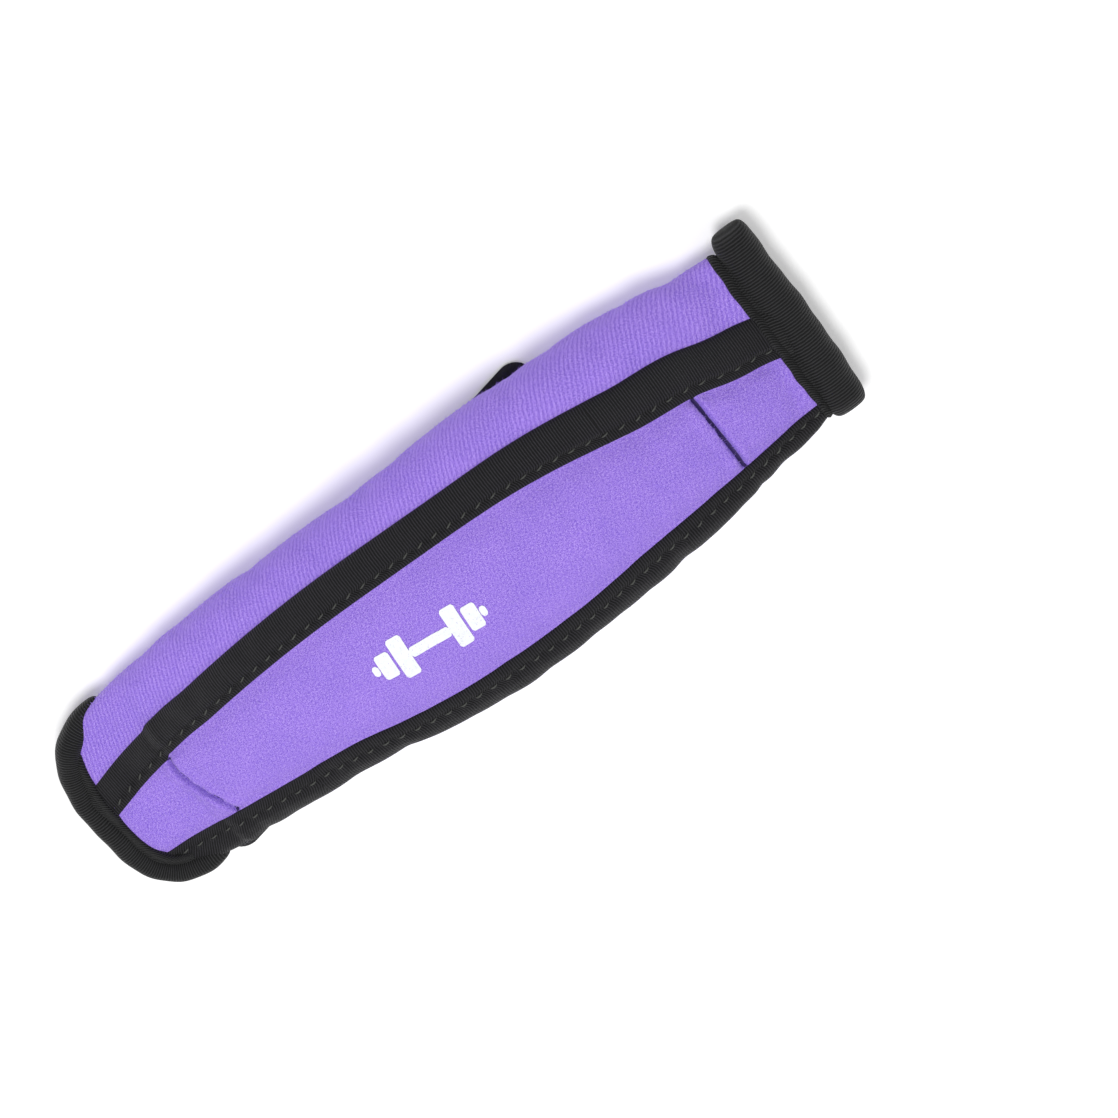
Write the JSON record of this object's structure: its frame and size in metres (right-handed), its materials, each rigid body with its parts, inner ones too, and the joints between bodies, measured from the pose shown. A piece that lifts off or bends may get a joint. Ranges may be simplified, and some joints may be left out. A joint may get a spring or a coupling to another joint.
{
  "type": "ankle cuff weight",
  "caption": "Padded fabric ankle or wrist weight with a granular fill, bound in knitted tape, with a hook-and-loop strap folded behind it.",
  "frame": {"origin": "middle of the resting face, under the middle of the cuff", "axes": "+X along the cuff towards its straight end, +Y across it towards the side where the upper corner of the strap shows, +Z out of the front"},
  "size_m": [0.3, 0.092, 0.0386],
  "materials": {
    "neoprene": "fine brushed knit over foam",
    "binding_tape": "ribbed knit, matt",
    "strap_webbing": "brushed loop cloth, matt",
    "hook_tape": "fine moulded hooks, slight gloss",
    "sack_cloth": "close woven cloth",
    "iron_sand": "fine grains, matt",
    "thread": "twisted thread",
    "print": "smooth transfer print"
  },
  "bodies": {
    "core": {"shell_core": "neoprene", "cover_core": "neoprene", "upper_binding_core": "binding_tape", "lower_binding_core": "binding_tape", "sack_core": "sack_cloth", "sand_core": "iron_sand", "strap_core": "strap_webbing", "weight_mark": "print"},
    "left_wing": {"shell_left": "neoprene", "cover_left": "neoprene", "upper_binding_left": "binding_tape", "lower_binding_left": "binding_tape", "sack_left": "sack_cloth", "sand_left": "iron_sand", "strap_left": "strap_webbing"},
    "left_tab": {"shell_left_tab": "neoprene", "cover_left_tab": "neoprene", "upper_binding_left_tab": "binding_tape", "lower_binding_left_tab": "binding_tape", "end_binding_left": "binding_tape"},
    "right_wing": {"shell_right": "neoprene", "cover_right": "neoprene", "upper_binding_right": "binding_tape", "lower_binding_right": "binding_tape", "sack_right": "sack_cloth", "sand_right": "iron_sand", "strap_right": "strap_webbing", "strap_stitching": "thread"},
    "right_tab": {"shell_right_tab": "neoprene", "cover_right_tab": "neoprene", "upper_binding_right_tab": "binding_tape", "lower_binding_right_tab": "binding_tape", "end_binding_right": "binding_tape"},
    "strap_flap": {"strap_flap": "strap_webbing", "hook_tape_flap": "hook_tape"},
    "strap_tip": {"strap_tip": "strap_webbing", "hook_tape_tip": "hook_tape"}
  },
  "joints": [
    {"name": "wrap", "type": "hinge", "parent": "core", "child": "left_wing", "pos_m": [-0.042, 0, 0.01], "axis": [0, -1, 0], "range_deg": [0, 70]},
    {"name": "wrap_right", "type": "hinge", "parent": "core", "child": "right_wing", "pos_m": [0.042, 0, 0.01], "axis": [0, 1, 0], "range_deg": [0, 70]},
    {"name": "curl_left_tab", "type": "hinge", "parent": "left_wing", "child": "left_tab", "pos_m": [-0.108, 0, 0.008], "axis": [0, -1, 0], "range_deg": [0, 70]},
    {"name": "curl_right_tab", "type": "hinge", "parent": "right_wing", "child": "right_tab", "pos_m": [0.102, 0, 0.008], "axis": [0, 1, 0], "range_deg": [0, 70]},
    {"name": "strap_peel", "type": "hinge", "parent": "left_wing", "child": "strap_flap", "pos_m": [-0.076, 0, 0.0011], "axis": [0, -1, 0], "range_deg": [0, 90]},
    {"name": "curl_strap_tip", "type": "hinge", "parent": "strap_flap", "child": "strap_tip", "pos_m": [-0.108, 0, 0.008], "axis": [0, -1, 0], "range_deg": [0, 70]}
  ],
  "couplings": [
    {"joint": "wrap_right", "follows": "wrap", "ratio": 1},
    {"joint": "curl_left_tab", "follows": "wrap", "ratio": 1},
    {"joint": "curl_right_tab", "follows": "wrap", "ratio": 1},
    {"joint": "curl_strap_tip", "follows": "wrap", "ratio": 1}
  ]
}
